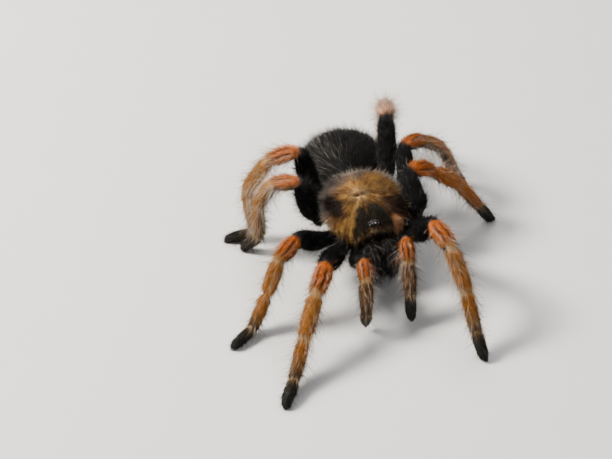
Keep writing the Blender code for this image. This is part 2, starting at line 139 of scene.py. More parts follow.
# ---- colours, linear
BLACK = (0.0040, 0.0038, 0.0040)
SOOT = (0.010, 0.0095, 0.0085)
SLATE = (0.055, 0.055, 0.058)
OLIVE_BLACK = (0.014, 0.0125, 0.0080)
FLAME = (0.55, 0.145, 0.014)
EMBER = (0.46, 0.075, 0.012)
ORANGE_TAN = (0.37, 0.138, 0.020)
TAN = (0.25, 0.120, 0.035)
PINK_TAN = (0.62, 0.29, 0.16)
CORAL = (0.90, 0.43, 0.22)
CREAM = (0.72, 0.57, 0.41)
PALE_GREY = (0.56, 0.52, 0.46)
SILVER = (0.27, 0.235, 0.215)
STRAW = (0.56, 0.37, 0.17)
GOLD = (0.270, 0.132, 0.030)
HONEY = (0.43, 0.235, 0.062)
RUST = (0.135, 0.060, 0.018)
BROWN = (0.034, 0.014, 0.007)
UMBER = (0.012, 0.0075, 0.005)
UNDER_BROWN = (0.060, 0.034, 0.021)
EYE_BLACK = (0.012, 0.009, 0.008)
HORN_RED = (0.030, 0.009, 0.005)

# Colours down a limb, on its upper and its under side: each whole number is a joint
UPPER_STOPS = [(-0.3, BLACK), (0.92, BLACK), (0.985, SLATE), (1.02, FLAME), (1.55, FLAME),
               (1.85, ORANGE_TAN), (1.94, STRAW), (2.0, STRAW), (2.05, ORANGE_TAN),
               (2.86, ORANGE_TAN), (2.94, STRAW), (3.0, STRAW), (3.06, ORANGE_TAN),
               (3.30, ORANGE_TAN), (3.62, TAN), (3.90, UNDER_BROWN), (3.95, STRAW),
               (4.0, STRAW), (4.05, UNDER_BROWN), (4.35, OLIVE_BLACK), (5.0, SOOT)]
LOWER_STOPS = [(-0.3, BLACK), (0.96, BLACK), (1.05, UNDER_BROWN), (1.85, UNDER_BROWN),
               (1.95, PALE_GREY), (2.0, PALE_GREY), (2.1, UNDER_BROWN), (2.85, UNDER_BROWN),
               (2.95, CREAM), (3.0, CREAM), (3.08, UNDER_BROWN), (3.3, SOOT), (3.9, SOOT),
               (3.97, PALE_GREY), (4.03, SOOT), (5.0, SOOT)]
# How light each limb is, its negative values being painted shade on the palps, the tint of its
# shank, and how thick its long pale hair
TONE_AND_SHADE = {"leg_right_4": 0.35, "leg_right_3": 0.30, "leg_left_3": 0.15, "leg_left_4": 0.75,
             "palp_left": -0.85, "palp_right": -0.85}
SHANK_TINTS = {"leg_left_2": (FLAME, 0.45), "leg_left_3": (PINK_TAN, 0.45)}
FUZZ = {"leg_right_4": 2.0, "leg_right_3": 2.0, "leg_left_2": 1.15, "leg_left_4": 1.2}
# The dark patches on the carapace: middle across and along, and half sizes; the one on the left is
# partly a real patch and partly painted shade
DARK_PATCHES = ((-0.68, 0.06, 0.26, 0.33), (0.82, -0.24, 0.22, 0.27))

# ---- coat: each layer's hairs to a square millimetre, their length, width, lift in degrees
# and bend, how many lengths each is cut into, and their disorder
Layer = namedtuple("Layer", "density length width lift bend rings disorder")
LIMB_LAYERS = (Layer(20.0, 1.35, 0.12, 19, 0.10, 1, 0.12),
               Layer(5.0, 2.2, 0.08, 24, 0.20, 2, 0.12),
               Layer(3.2, 3.5, 0.078, 48, 0.35, 3, 0.24),
               Layer(2.2, 5.2, 0.068, 62, 0.30, 3, 0.22))
CARAPACE_LAYERS = (Layer(27.0, 1.25, 0.13, 12, 0.05, 1, 0.15),
                   Layer(8.0, 2.0, 0.09, 20, 0.15, 2, 0.20),
                   Layer(0.6, 2.6, 0.06, 50, 0.3, 3, 0.3))
FRINGE_LAYERS = (Layer(24.0, 2.0, 0.08, 24, 0.1, 3, 0.26),)
ABDOMEN_LAYERS = (Layer(9.0, 1.9, 0.15, 24, 0.05, 1, 0.14),
                  Layer(3.4, 2.9, 0.09, 36, 0.20, 2, 0.18),
                  Layer(2.4, 4.2, 0.05, 46, 0.38, 3, 0.20))
JAW_LAYERS = (Layer(24.0, 1.1, 0.11, 18, 0.10, 1, 0.16),
              Layer(8.0, 2.0, 0.08, 32, 0.25, 2, 0.22),
              Layer(3.2, 3.2, 0.06, 34, 0.35, 3, 0.18))
UNDERSIDE_LAYERS = (Layer(13.0, 1.3, 0.15, 18, 0.10, 1, 0.2),
                    Layer(2.4, 2.2, 0.10, 34, 0.2, 2, 0.25),
                    Layer(0.7, 3.2, 0.07, 50, 0.3, 3, 0.3))
HAIR_TAPER = 0.6            # below one, a hair keeps its thickness until near its tip
SIZE_RANGE = (0.35, 2.2)    # limits on how much lengths vary, as shares
DARKEST_ROOT, DARKEST_TIP = 0.002, 0.003
BOX_LOW, BOX_HIGH = np.array(low) / MM, np.array(high) / MM
BOX_MARGIN = 0.025 * (BOX_HIGH - BOX_LOW)     # how far past the frame's box a hair may reach
SHORTEST_CUT = 0.15         # the least of a hair that is left when it is cut back
HAIR_PATCH = 0.003          # size of one hair's patch of the unwrap
UNWRAP_EDGE = 0.005         # how far a patch's middle keeps from the unwrap's edge
PLAN_REACH = 1.6            # half width of the body's plan on the unwrap, in half sizes
NUDGE = np.array((0.013, 0.021, 0.017))     # gives a hair a side when its bend lies along it

# ---- hard parts: the eyes' places on one side of the mound, from its middle, and radii
EYES = ((0.50, -0.50, 0.62, 0.36), (1.18, -0.52, 0.42, 0.31),
        (0.72, 0.35, 0.60, 0.24), (1.24, 0.30, 0.40, 0.29))
EYE_SINK = 0.12
FANG_REACH = 0.5            # how far past the narrowest gap a fang still faces its jaw
FANG_ROOT = 0.8             # how far a fang runs on into its jaw
FANG_TIP, FANG_SIDES = 0.05, 14
CLAW_LINE = ((-0.5, 0.35), (0.2, 0.5), (0.55, 0.0))     # forward and up, from a limb's end
CLAW_SPREAD, CLAW_RADII, CLAW_LOWEST = 0.28, (0.17, 0.13, 0.03), 0.2
CLAW_SIDES, CLAW_SPACING = 8, 0.25


# ---------------------------------------------------------------- small tools

def unit(vectors):
    """Vectors scaled to length one."""
    vectors = np.asarray(vectors, float)
    return vectors / np.maximum(np.linalg.norm(vectors, axis=-1, keepdims=True), TINY)


def smoothstep(low_edge, high_edge, value):
    """Zero below one edge, one above the other, smooth between."""
    share = np.clip((value - low_edge) / (high_edge - low_edge), 0, 1)
    return share * share * (3 - 2 * share)


def stretch(value, start, full, fade, end):
    """One from full to fade, and zero before the start and after the end."""
    return smoothstep(start, full, value) * smoothstep(end, fade, value)


def bump_at(value, centre, width):
    """A soft hill of height one round a value."""
    return np.exp(-((value - centre) / width) ** 2)


def blend(first, second, share):
    """Mix two colours, or two rows of colours, by a row of shares."""
    share = np.clip(np.asarray(share), 0, 1)[..., None]
    return np.asarray(first) * (1 - share) + np.asarray(second) * share


def rows_at(value, places, rows):
    """Rows of three numbers, read at a value between the places where they stand."""
    return np.stack([np.interp(value, places, column) for column in np.transpose(rows)], axis=-1)


def stops(value, table):
    """Colours along a value, from a table of (place, colour)."""
    places, colours = zip(*table)
    return rows_at(value, places, colours)


def mottle(points, size, seed):
    """Soft irregular patches over space, from -1 to 1, about size across."""
    draw = np.random.default_rng(seed)
    waves = draw.normal(size=(MOTTLE_WAVES, 3)) * (2 * math.pi / (size * MOTTLE_PITCH))
    phases = draw.uniform(0, 2 * math.pi, MOTTLE_WAVES)
    return np.clip(np.sin(points @ waves.T + phases).sum(1) / MOTTLE_SUM, -1, 1)


def eased(values, rounds):
    """A row with its kinks smoothed, keeping both ends."""
    values = np.array(values, float)
    for _ in range(rounds):
        values[1:-1] = (values[:-2] + 2 * values[1:-1] + values[2:]) / 4
    return values


def distances_along(line):
    """How far along a line each of its points lies."""
    return np.concatenate([[0], np.cumsum(np.linalg.norm(np.diff(line, axis=0), axis=1))])


def carried(up, ways):
    """A direction square to each way, carried down a line without a twist."""
    upper = []
    for way in ways:
        up = unit(up - way * (up @ way))
        upper.append(up)
    return np.array(upper)


def farthest(points, start):
    """The point that lies farthest from a start."""
    return points[np.argmax(np.linalg.norm(points - start, axis=1))]


def face_crosses(points, faces):
    """A vector square to each triangle, twice as long as its area."""
    corners = points[faces]
    return np.cross(corners[:, 1] - corners[:, 0], corners[:, 2] - corners[:, 0])


def join(parts):
    """Several sets of corners and triangles as one."""
    offset, points, faces = 0, [], []
    for part_points, part_faces in parts:
        points.append(part_points)
        faces.append(part_faces + offset)
        offset += len(part_points)
    return np.concatenate(points), np.concatenate(faces)


# ---------------------------------------------------------------- reading the frame

def read_rows(items, key, kind):
    """A property of three numbers, of every item of a mesh."""
    rows = np.empty(len(items) * 3, dtype=kind)
    items.foreach_get(key, rows)
    return rows.reshape(-1, 3)


def mesh_arrays(mesh):
    """Corners in millimetres, triangles and corner normals of a mesh."""
    mesh.calc_loop_triangles()
    points = read_rows(mesh.vertices, "co", float) / MM
    faces = read_rows(mesh.loop_triangles, "vertices", np.int32)
    return points, faces, read_rows(mesh.vertices, "normal", np.float32).astype(float)


def node_arrays(name):
    """A frame node's corners, in millimetres, and its triangles."""
    return mesh_arrays(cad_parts[name].data)[:2]


def box_middle(name):
    """The middle of a frame node's box, in millimetres."""
    corner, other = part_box(name)
    return np.array((corner + other) / 2) / MM


class BodyFrame:
    """The front body's own axes: x to its left, y backward, z out of the carapace."""

    def __init__(self):
        points, faces = node_arrays("carapace")
        normals = face_crosses(points, faces)
        facing_down = normals[:, 2] < -FLAT_FACING * np.linalg.norm(normals, axis=1)
        up = unit(-normals[facing_down].sum(0))
        across = box_middle("chelicera_left") - box_middle("chelicera_right")
        left = unit(across - up * (across @ up))
        self.axes = np.array([left, np.cross(up, left), up])
        spread = points @ self.axes.T
        lowest, highest = spread.min(0), spread.max(0)
        self.half = (highest - lowest) / 2
        self.half[1] = self.half[0] * CARAPACE_ROUNDNESS
        middle = (highest + lowest) / 2
        middle[1] = highest[1] - self.half[1]
        middle[2] = lowest[2]
        self.origin = middle @ self.axes

    def local(self, points):
        """Points in the body's axes, from under the carapace's middle."""
        return (np.asarray(points) - self.origin) @ self.axes.T

    def world(self, points):
        """The other way round."""
        return np.asarray(points) @ self.axes + self.origin

    def turn(self, vectors):
        """Directions from the body's axes to the world's."""
        return np.asarray(vectors) @ self.axes


BODY = BodyFrame()
ABDOMEN_MIDDLE = box_middle("abdomen")
ABDOMEN_HALF = np.array(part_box("abdomen")[1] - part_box("abdomen")[0]) / (2 * MM)
ABDOMEN_WAY = unit((box_middle("spinneret_left") + box_middle("spinneret_right")) / 2
                   - box_middle("waist"))
FOVEA = np.array((-0.07, 0.14))     # the pit in the carapace, as shares of its half sizes


def cut(points, faces, origin, normal):
    """Centre and mean radius of the outline where a plane cuts a mesh."""
    heights = (points - origin) @ normal
    starts, ends = faces, np.roll(faces, -1, axis=1)
    crossing = (heights[starts] > 0) != (heights[ends] > 0)
    rows = crossing.sum(1) == 2
    if rows.sum() < FEWEST_CUT_FACES:
        return None
    starts, ends, crossing = starts[rows], ends[rows], crossing[rows]
    start_height, end_height = heights[starts], heights[ends]
    share = start_height / np.where(crossing, start_height - end_height, 1.0)
    places = points[starts] + share[..., None] * (points[ends] - points[starts])
    pairs = places[crossing].reshape(-1, 2, 3)
    lengths = np.linalg.norm(pairs[:, 0] - pairs[:, 1], axis=1) + TINY
    middles = pairs.mean(1)
    centre = (middles * lengths[:, None]).sum(0) / lengths.sum()
    radius = (np.linalg.norm(middles - centre, axis=1) * lengths).sum() / lengths.sum()
    return centre, radius


def trace(name, start, finish):
    """Walk down the middle of a tube-like node: its centres and radii."""
    points, faces = node_arrays(name)
    direction = unit(points.mean(0) - start)
    here, centres, radii = start, [], []
    while (finish - here) @ direction > TRACE_STEP * TRACE_END and len(centres) < TRACE_LIMIT:
        found = cut(points, faces, here + direction * TRACE_STEP, direction)
        if found is None:
            break
        moved = unit(found[0] - here)
        direction = unit(TRACE_STEADINESS * direction + (1 - TRACE_STEADINESS) * moved)
        here = found[0]
        centres.append(found[0])
        radii.append(found[1])
    return centres, radii


def facing_middle(points, neighbour, reach=FACING_REACH):
    """Middle of the part of one mesh that faces another."""
    gaps = np.linalg.norm(points[:, None] - neighbour[None], axis=2).min(1)
    facing = points[gaps < gaps.min() + reach]
    return (facing.min(0) + facing.max(0)) / 2


class Limb:
    """The centre line of a leg or palp, with its radius and its upper side."""

    def __init__(self, name):
        self.name = name
        nodes = [f"{name}_{segment}" for segment in SEGMENTS]
        nodes = [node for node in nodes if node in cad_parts]
        meshes = [node_arrays(node)[0] for node in nodes]
        joints = [facing_middle(meshes[0], node_arrays("prosoma_underside")[0])]
        joints += [(facing_middle(a, b) + facing_middle(b, a)) / 2
                   for a, b in zip(meshes[:-1], meshes[1:])]
        tip = farthest(meshes[-1], joints[-1])
        joints.append(tip)
        centres, radii, parts = [], [], []
        for index, node in enumerate(nodes):
            found, sizes = trace(node, joints[index], joints[index + 1])
            number = SEGMENTS.index(node.rsplit("_", 1)[1])
            centres += found
            radii += sizes
            parts += [number + (k + 1) / (len(found) + 1) for k in range(len(found))]
        first_way = unit(centres[0] - centres[1])
        centres = [centres[0] + first_way * ROOT_REACH, *centres, tip]
        radii = [radii[0], *radii, radii[-1] * TIP_SHARE]
        self.resample(np.array(centres), radii, [ROOT_PLACE, *parts, len(SEGMENTS)])

    def resample(self, centres, radii, parts):
        """Even stations down the whole limb, with directions at each."""
        distances = distances_along(centres)
        self.distance = np.linspace(0, distances[-1], int(distances[-1] / STATION_STEP) + 1)
        self.centres = eased(rows_at(self.distance, distances, centres), 5)
        self.radii = eased(np.interp(self.distance, distances, radii), 4)
        self.parts = np.interp(self.distance, distances, parts)
        self.ways = unit(np.gradient(self.centres, axis=0))
        self.upper = carried(np.array((0.0, 0.0, 1.0)), self.ways)
        self.across = np.cross(self.ways, self.upper)

    def locate(self, points):
        """For points near the limb: station number, place along and angle round."""
        nearest = np.empty(len(points), dtype=int)
        for start in range(0, len(points), LOCATE_BLOCK):
            block = points[start:start + LOCATE_BLOCK]
            gaps = ((block[:, None] - self.centres[None]) ** 2).sum(2)
            nearest[start:start + LOCATE_BLOCK] = gaps.argmin(1)
        out = points - self.centres[nearest]
        along = (out * self.ways[nearest]).sum(1)
        place = np.interp(self.distance[nearest] + along, self.distance, self.parts)
        around = np.arctan2((out * self.across[nearest]).sum(1),
                            (out * self.upper[nearest]).sum(1))
        return nearest, place, around


LIMB_LINES = {name: Limb(name) for name in LIMBS}


class Regions:
    """Which frame node each point belongs to, by the nearest surface."""

    def __init__(self):
        self.names = sorted(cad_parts)
        shapes = [node_arrays(name) for name in self.names]
        points, faces = join(shapes)
        self.owners = np.repeat(np.arange(len(shapes)), [len(shape[1]) for shape in shapes])
        self.tree = BVHTree.FromPolygons(points.tolist(), faces.tolist())

    def find(self, points):
        """The node number of each point."""
        faces = [self.tree.find_nearest(point)[2] for point in points.tolist()]
        return self.owners[faces]

    def mask(self, found, *starts):
        """True where the found node's name starts with one of the words."""
        wanted = [number for number, name in enumerate(self.names) if name.startswith(starts)]
        return np.isin(found, wanted)


REGIONS = Regions()


# ---------------------------------------------------------------- building meshes

def add_object(name, data):
    """A new object in the scene."""
    thing = bpy.data.objects.new(name, data)
    bpy.context.scene.collection.objects.link(thing)
    return thing


def mesh_object(name, points, faces):
    """A new smooth object from corners in millimetres and triangles."""
    mesh = bpy.data.meshes.new(name)
    faces = np.asarray(faces, dtype=np.int32)
    mesh.vertices.add(len(points))
    mesh.vertices.foreach_set("co", (np.asarray(points) * MM).astype(np.float32).ravel())
    mesh.loops.add(faces.size)
    mesh.loops.foreach_set("vertex_index", faces.ravel())
    mesh.polygons.add(len(faces))
    mesh.polygons.foreach_set("loop_start", np.arange(0, faces.size, 3, dtype=np.int32))
    mesh.update(calc_edges=True)
    mesh.validate()
    mesh.polygons.foreach_set("use_smooth", np.ones(len(mesh.polygons), dtype=bool))
    return add_object(name, mesh)


def rows_of(shape):
    """A bmesh shape's corners and triangles as rows; the shape is let go."""
    bmesh.ops.triangulate(shape, faces=shape.faces)
    shape.verts.index_update()
    points = np.array([vertex.co for vertex in shape.verts])
    faces = np.array([[vertex.index for vertex in face.verts] for face in shape.faces])
    shape.free()
    return points, faces


def upright_cone(sides, top_radius):
    """A closed cone or cylinder one high, standing on its base of radius one."""
    shape = bmesh.new()
    bmesh.ops.create_cone(shape, cap_ends=True, segments=sides, radius1=1, radius2=top_radius,
                          depth=1, matrix=Matrix.Translation((0, 0, 0.5)))
    bmesh.ops.remove_doubles(shape, verts=shape.verts, dist=0.001)
    return shape


def tube(centres, upper, across, radii, sides=TUBE_SIDES):
    """A closed round tube: a cylinder cut into lengths and bent to run through the centres."""
    shape = upright_cone(sides, 1)
    lengthwise = [edge for edge in shape.edges
                  if abs(edge.verts[0].co.z - edge.verts[1].co.z) > 0.5]
    bmesh.ops.subdivide_edges(shape, edges=lengthwise, cuts=len(centres) - 2, use_grid_fill=True)
    straight, faces = rows_of(shape)
    station = np.rint(straight[:, 2] * (len(centres) - 1)).astype(int)
    out = straight[:, :1] * upper[station] + straight[:, 1:2] * across[station]
    return centres[station] + out * np.asarray(radii)[station][:, None], faces


def line_tube(line, radii, sides=12, spacing=0.35):
    """A tube down a line of a few points, with a smooth run between them."""
    line = np.asarray(line, float)
    distances = distances_along(line)
    even = np.linspace(0, distances[-1], max(4, int(distances[-1] / spacing)))
    centres = eased(rows_at(even, distances, line), 4)
    sizes = np.interp(even, distances, radii)
    ways = unit(np.gradient(centres, axis=0))
    upper = carried(unit(np.cross(ways[0], ODD_WAY)), ways)
    return tube(centres, upper, np.cross(ways, upper), sizes, sides)


def ball(centre, half_sizes):
    """An ellipsoid about a centre, on the front body's axes."""
    shape = bmesh.new()
    bmesh.ops.create_uvsphere(shape, u_segments=16, v_segments=10, radius=1)
    points, faces = rows_of(shape)
    return (points * half_sizes) @ BODY.axes + centre, faces


def remeshed(name, points, faces, voxel, smoothing):
    """The mesh of some closed shapes, rebuilt as one even skin and eased."""
    piece = mesh_object(name, points, faces)
    remesh = piece.modifiers.new("Remesh", "REMESH")
    remesh.mode = "VOXEL"
    remesh.voxel_size = voxel * MM
    ease = piece.modifiers.new("Smooth", "SMOOTH")
    ease.iterations = smoothing
    graph = bpy.context.evaluated_depsgraph_get()
    mesh = bpy.data.meshes.new_from_object(piece.evaluated_get(graph))
    bpy.data.objects.remove(piece, do_unlink=True)
    return mesh


def paint(mesh, colours):
    """Store linear colours on a mesh's corners, for its finish to read."""
    layer = mesh.color_attributes.new("tint", "FLOAT_COLOR", "POINT")
    rows = np.ones((len(colours), 4), dtype=np.float32)
    rows[:, :3] = np.clip(colours, 0, 1)
    layer.data.foreach_set("color", rows.ravel())


def finished(piece, finish, slot, *replaced):
    """Give a piece its finish and place in the frame; the slot is not used."""
    piece.data.materials.append(finish)
    if replaced:
        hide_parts(*replaced)
    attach(piece, "root")


# ---------------------------------------------------------------- skin

def rounded_node(name, depth):
    """A rounded copy of a frame node, shrunk inward by the coat's depth."""
    shape = bmesh.new()
    shape.from_mesh(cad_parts[name].data)
    bmesh.ops.remove_doubles(shape, verts=shape.verts, dist=WELD * MM)
    points, faces = rows_of(shape)
    mesh = remeshed(f"rounded_{name}", points / MM, faces, NODE_VOXEL, NODE_SMOOTHING)
    points, faces, normals = mesh_arrays(mesh)
    return points - normals * depth, faces


def limb_skin_radii(limb):
    """Radius of the skin down a limb: narrow at the joints, full between."""
    share = limb.parts - np.floor(limb.parts)
    joints = (limb.parts > 0.5) & (limb.parts < len(SEGMENTS) - 0.5)
    narrowing = (bump_at(share, 0, JOINT_WIDTH) + bump_at(share, 1, JOINT_WIDTH)) * joints
    radii = (limb.radii - LIMB_COAT_DEPTH) * (1 - JOINT_NARROWING * narrowing)
    end = limb.distance[-1]
    return radii * np.interp(limb.distance, [end - TIP_ROUNDING, end], [1, TIP_SHARE])


def bridge(first, second, radius):
    """A short round stump between two middles that the skin runs through."""
    return line_tube([first, (first + second) / 2, second], [radius] * 3)


def skin_parts():
    """Every piece of flesh as overlapping closed shapes."""
    parts = [tube(limb.centres, limb.upper, limb.across, limb_skin_radii(limb))
             for limb in LIMB_LINES.values()]
    parts += [rounded_node(name, depth) for name, depth in BODY_COAT_DEPTHS.items()]
    parts.append(ball(BODY.world(CORE_MIDDLE), CORE_HALF))
    for side, sign in SIDES.items():
        jaw_root = BODY.world((sign * JAW_ROOT[0], *JAW_ROOT[1:]))
        parts.append(bridge(box_middle(f"chelicera_{side}"), jaw_root, JAW_RADIUS))
        spinner = box_middle(f"spinneret_{side}")
        half = np.array(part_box(f"spinneret_{side}")[1]) / MM - spinner
        reach = ABDOMEN_WAY * np.linalg.norm(half) * SPINNERET_REACH
        root = ABDOMEN_MIDDLE + ABDOMEN_WAY * ABDOMEN_CORE
        parts.append(line_tube([root, spinner - reach, spinner, spinner + reach], SPINNERET_RADII))
    waist = box_middle("waist")
    parts.append(bridge(BODY.world(WAIST_FRONT), waist, WAIST_RADIUS))
    parts.append(bridge(waist, ABDOMEN_MIDDLE - ABDOMEN_WAY * ABDOMEN_CORE, WAIST_RADIUS))
    parts.append(ball(box_middle("eye_mound"), MOUND_HALF))
    return parts


def carapace_place(points):
    """Places on the carapace: across and along from -1 to 1, and height."""
    local = BODY.local(points)
    return local[:, 0] / BODY.half[0], local[:, 1] / BODY.half[1], local[:, 2]


def round_the_pit(u, v):
    """Places as seen from the carapace's pit: across, along, angle and distance."""
    x, y = u - FOVEA[0], v - FOVEA[1]
    return x, y, np.arctan2(x, y), np.hypot(x, y)


def wedge_inside(u, v):
    """How far inside the dark wedge on the head a place lies; negative outside it."""
    right_edge = -0.17 + 0.60 * (v + 0.05)
    left_edge = np.minimum(0.17 - 0.48 * (v + 0.12), 0.43)
    return np.minimum(u - right_edge, left_edge - u)


def carapace_relief(points):
    """How far the carapace's skin sinks at its pit, rays and head groove; below zero."""
    u, v, _ = carapace_place(points)
    x, y, angle, radius = round_the_pit(u, v)
    pit = bump_at(y, 0.0, 0.05) * bump_at(x, 0.0, 0.16)
    spokes = 0.5 - 0.5 * np.cos(angle * 8)
    grooves = (1 - smoothstep(0.0, 0.35, spokes)) * smoothstep(0.12, 0.3, radius)
    grooves *= 1 - smoothstep(0.62, 0.85, radius)
    head_groove = bump_at(wedge_inside(u, v), -0.10, 0.07) * smoothstep(0.1, -0.1, v)
    head_groove *= smoothstep(-0.85, -0.6, v)
    return -PIT_DEPTH * pit - RAY_DEPTH * grooves - HEAD_GROOVE_DEPTH * head_groove


def build_skin():
    """The one closed skin, remeshed as a whole and carved with its details."""
    mesh = remeshed("skin_parts", *join(skin_parts()), SKIN_VOXEL, SKIN_SMOOTHING)
    mesh.name = "skin"
    points, _, normals = mesh_arrays(mesh)
    on_carapace = REGIONS.mask(REGIONS.find(points), "carapace")
    points += normals * np.where(on_carapace, carapace_relief(points), 0.0)[:, None]
    points[:, 2] = np.maximum(points[:, 2], LOWEST_SKIN)
    mesh.vertices.foreach_set("co", (points * MM).astype(np.float32).ravel())
    mesh.polygons.foreach_set("use_smooth", np.ones(len(mesh.polygons), dtype=bool))
    mesh.update()
    return add_object("skin", mesh)


# ---------------------------------------------------------------- markings

def limb_colour(name, place, around, points):
    """Colours of a leg or palp: place along it, angle from its upper side."""
    away = np.abs(around)
    lower = smoothstep(1.15, 2.0, away)
    colour = blend(stops(place, UPPER_STOPS), stops(place, LOWER_STOPS), lower)
    tone_and_shade = TONE_AND_SHADE.get(name, 0.0)
    shank = stretch(place, 1.9, 2.1, 3.8, 4.0)
    # Negative values are painted shade: darker shanks here and darker knees below, on the palps.
    colour = blend(colour, HONEY if tone_and_shade > 0 else UNDER_BROWN, abs(tone_and_shade) * shank)
    tint, share = SHANK_TINTS.get(name, (TAN, 0.0))
    colour = blend(colour, tint, share * shank * smoothstep(2.0, 1.2, away))
    knee = stretch(place, 0.98, 1.05, 1.8, 1.95)
    colour = blend(colour, BROWN, 0.40 * max(-tone_and_shade, 0) * knee)
    colour = blend(colour, CREAM, max(tone_and_shade, 0) ** 1.8 * knee)
    on_patella = stretch(place, 1.10, 1.22, 1.72, 1.88)
    wavy = np.abs(around + 0.05 * np.sin(place * 9))
    colour = blend(colour, PINK_TAN, 0.75 * bump_at(wavy, 0.80, 0.16) * on_patella)
    colour = blend(colour, BROWN, 0.95 * bump_at(wavy, 0.42, 0.15) * on_patella)
    ridge = bump_at(around, 0.0, 0.20) * stretch(place, 1.0, 1.1, 1.7, 1.9)
    colour = blend(colour, EMBER, 0.35 * ridge)
    on_tibia = stretch(place, 2.1, 2.3, 2.7, 2.85)
    colour = blend(colour, STRAW, 0.35 * bump_at(away, 0.55, 0.16) * on_tibia)
    return colour * (1 + 0.16 * mottle(points, 1.4, 5)[:, None])


def brow(u, v, height):
    """One on the upright face under the carapace's front edge, above the jaws."""
    arch = 0.3 + 3.9 * np.clip(1 - (u / 0.56) ** 2, 0, 1) ** 0.4
    return smoothstep(-0.75, -0.80, v) * smoothstep(-0.5, -1.2, height - arch)


def rim_paleness(u, v):
    """How pale the carapace's edge is: most behind, and more on the right than on the left."""
    return 0.30 + 0.55 * smoothstep(-0.35, 0.15, v) + 0.15 * smoothstep(0.3, -0.3, u)


def carapace_edge(u, v):
    """One at the carapace's edge, the cut front included, and less inward."""
    return np.maximum(np.hypot(u, v * 0.98), -v / CARAPACE_FRONT)


def strands(angle, radius, seed):
    """Uneven bright and dark rays round a middle, from 0 to 1."""
    draw = np.random.default_rng(seed)
    total = np.zeros(len(angle))
    for turns in (3, 5, 8, 13, 23, 41):
        wander = draw.uniform(-5.5, 5.5) * radius
        total += np.sin(angle * turns + wander + draw.uniform(0, 2 * math.pi))
    return 0.5 + 0.5 * np.clip(total / 2.2, -1, 1)


def ground_colour(points, u, v, rays, fine):
    """Golden rays over rust: grey-brown behind, with painted shade dulling the left, bright at the
    front right.
    """
    x, y, _, radius = round_the_pit(u, v)
    colour = blend(RUST, GOLD, smoothstep(0.15, 0.70, rays))
    colour = blend(colour, HONEY, 0.5 * smoothstep(0.55, 0.95, rays) * smoothstep(0.1, 0.3, radius))
    behind = smoothstep(0.45, 0.63, v - 0.35 * u + 0.08 * mottle(points, 2.0, 13))
    colour = blend(colour, blend(BROWN, SILVER, 0.30), (0.70 + 0.25 * fine) * behind)
    colour = blend(colour, HONEY, 0.40 * bump_at(y, 0.14, 0.12) * smoothstep(-0.15, 0.10, x))
    # Painted shade: the left half of the carapace, the side turned from the light, is dulled to
    # brown.
    painted_left_shade = smoothstep(0.05, 0.75, u + 0.3 * mottle(points, 2.6, 14)) * smoothstep(0.34, 0.08, v)
    colour = blend(colour, BROWN, 0.45 * painted_left_shade)
    lobe = smoothstep(-0.28, -0.46, v) * smoothstep(-0.24, -0.42, u - 0.25 * v)
    return blend(colour, blend(GOLD, HONEY, rays), 0.8 * lobe)


def add_head_marks(colour, points, u, v, rays):
    """Painted shade on the head's left, the side patches, and the dark wedge with its golden lines.
    """
    # Painted shade: brown over the left of the head, beside the wedge.
    shade = smoothstep(0.0, 0.16, u - 0.12) * stretch(v, -0.66, -0.54, -0.12, 0.02)
    colour = blend(colour, BROWN, 0.92 * shade)
    rough = 0.16 * mottle(points, 1.5, 8) + 0.12 * (rays - 0.5)
    # The patch on the left is partly a real dark patch and partly painted shade.
    for middle_u, middle_v, half_u, half_v in DARK_PATCHES:
        patch = np.hypot((u - middle_u) / half_u, (v - middle_v) / half_v) + rough
        colour = blend(colour, BROWN, 0.95 * smoothstep(1.12, 0.78, patch))
        colour = blend(colour, UMBER, 0.9 * smoothstep(0.95, 0.55, patch))
    inside = wedge_inside(u, v) + 0.25 * rough
    wedge = smoothstep(-0.04, 0.05, inside) * smoothstep(-0.02, -0.24, v)
    colour = blend(colour, OLIVE_BLACK, 0.97 * wedge)
    midline = bump_at(u + 0.07 - 0.05 * v, 0, 0.03) * stretch(v, -0.50, -0.30, -0.12, 0.0)
    colour = blend(colour, GOLD, 0.65 * midline)
    # The golden line on the left is kept faint as painted shade.
    stripe = bump_at(inside, -0.10, 0.07) * smoothstep(0.12, -0.08, v)
    return blend(colour, HONEY, stripe * np.where(u < 0, 0.85, 0.18))


def add_pit(colour, u, v):
    """The black curved pit in its pale ring."""
    x, y, _, _ = round_the_pit(u, v)
    colour = blend(colour, STRAW, 0.35 * bump_at(np.hypot(x * 0.7, y), 0.10, 0.07))
    pit = bump_at(y + 0.10 * np.abs(x), 0.0, 0.045) * bump_at(np.abs(x), 0.085, 0.075)
    return blend(colour, BLACK, 0.97 * np.clip(pit * 1.3, 0, 1))


def add_rim(colour, points, u, v, height, rays, pink):
    """The pale rim, the brown wall under it and the dark brow in front."""
    edge = carapace_edge(u, v)
    inset = 0.12 * smoothstep(0.30, 0.55, v)
    rim = smoothstep(0.84 - inset, 0.95, edge + 0.05 * mottle(points, 1.2, 9)) * rim_paleness(u, v)
    rim_colour = blend(SILVER, GOLD, 0.9 * smoothstep(0.08, -0.25, v))
    colour = blend(colour, rim_colour, 0.85 * rim)
    wall = smoothstep(2.6, 1.2, height) * smoothstep(0.80, 0.92, edge) * (1 - pink)
    colour = blend(colour, blend(BROWN, RUST, rays), 0.8 * wall)
    return blend(colour, SOOT, 0.95 * brow(u, v, height))


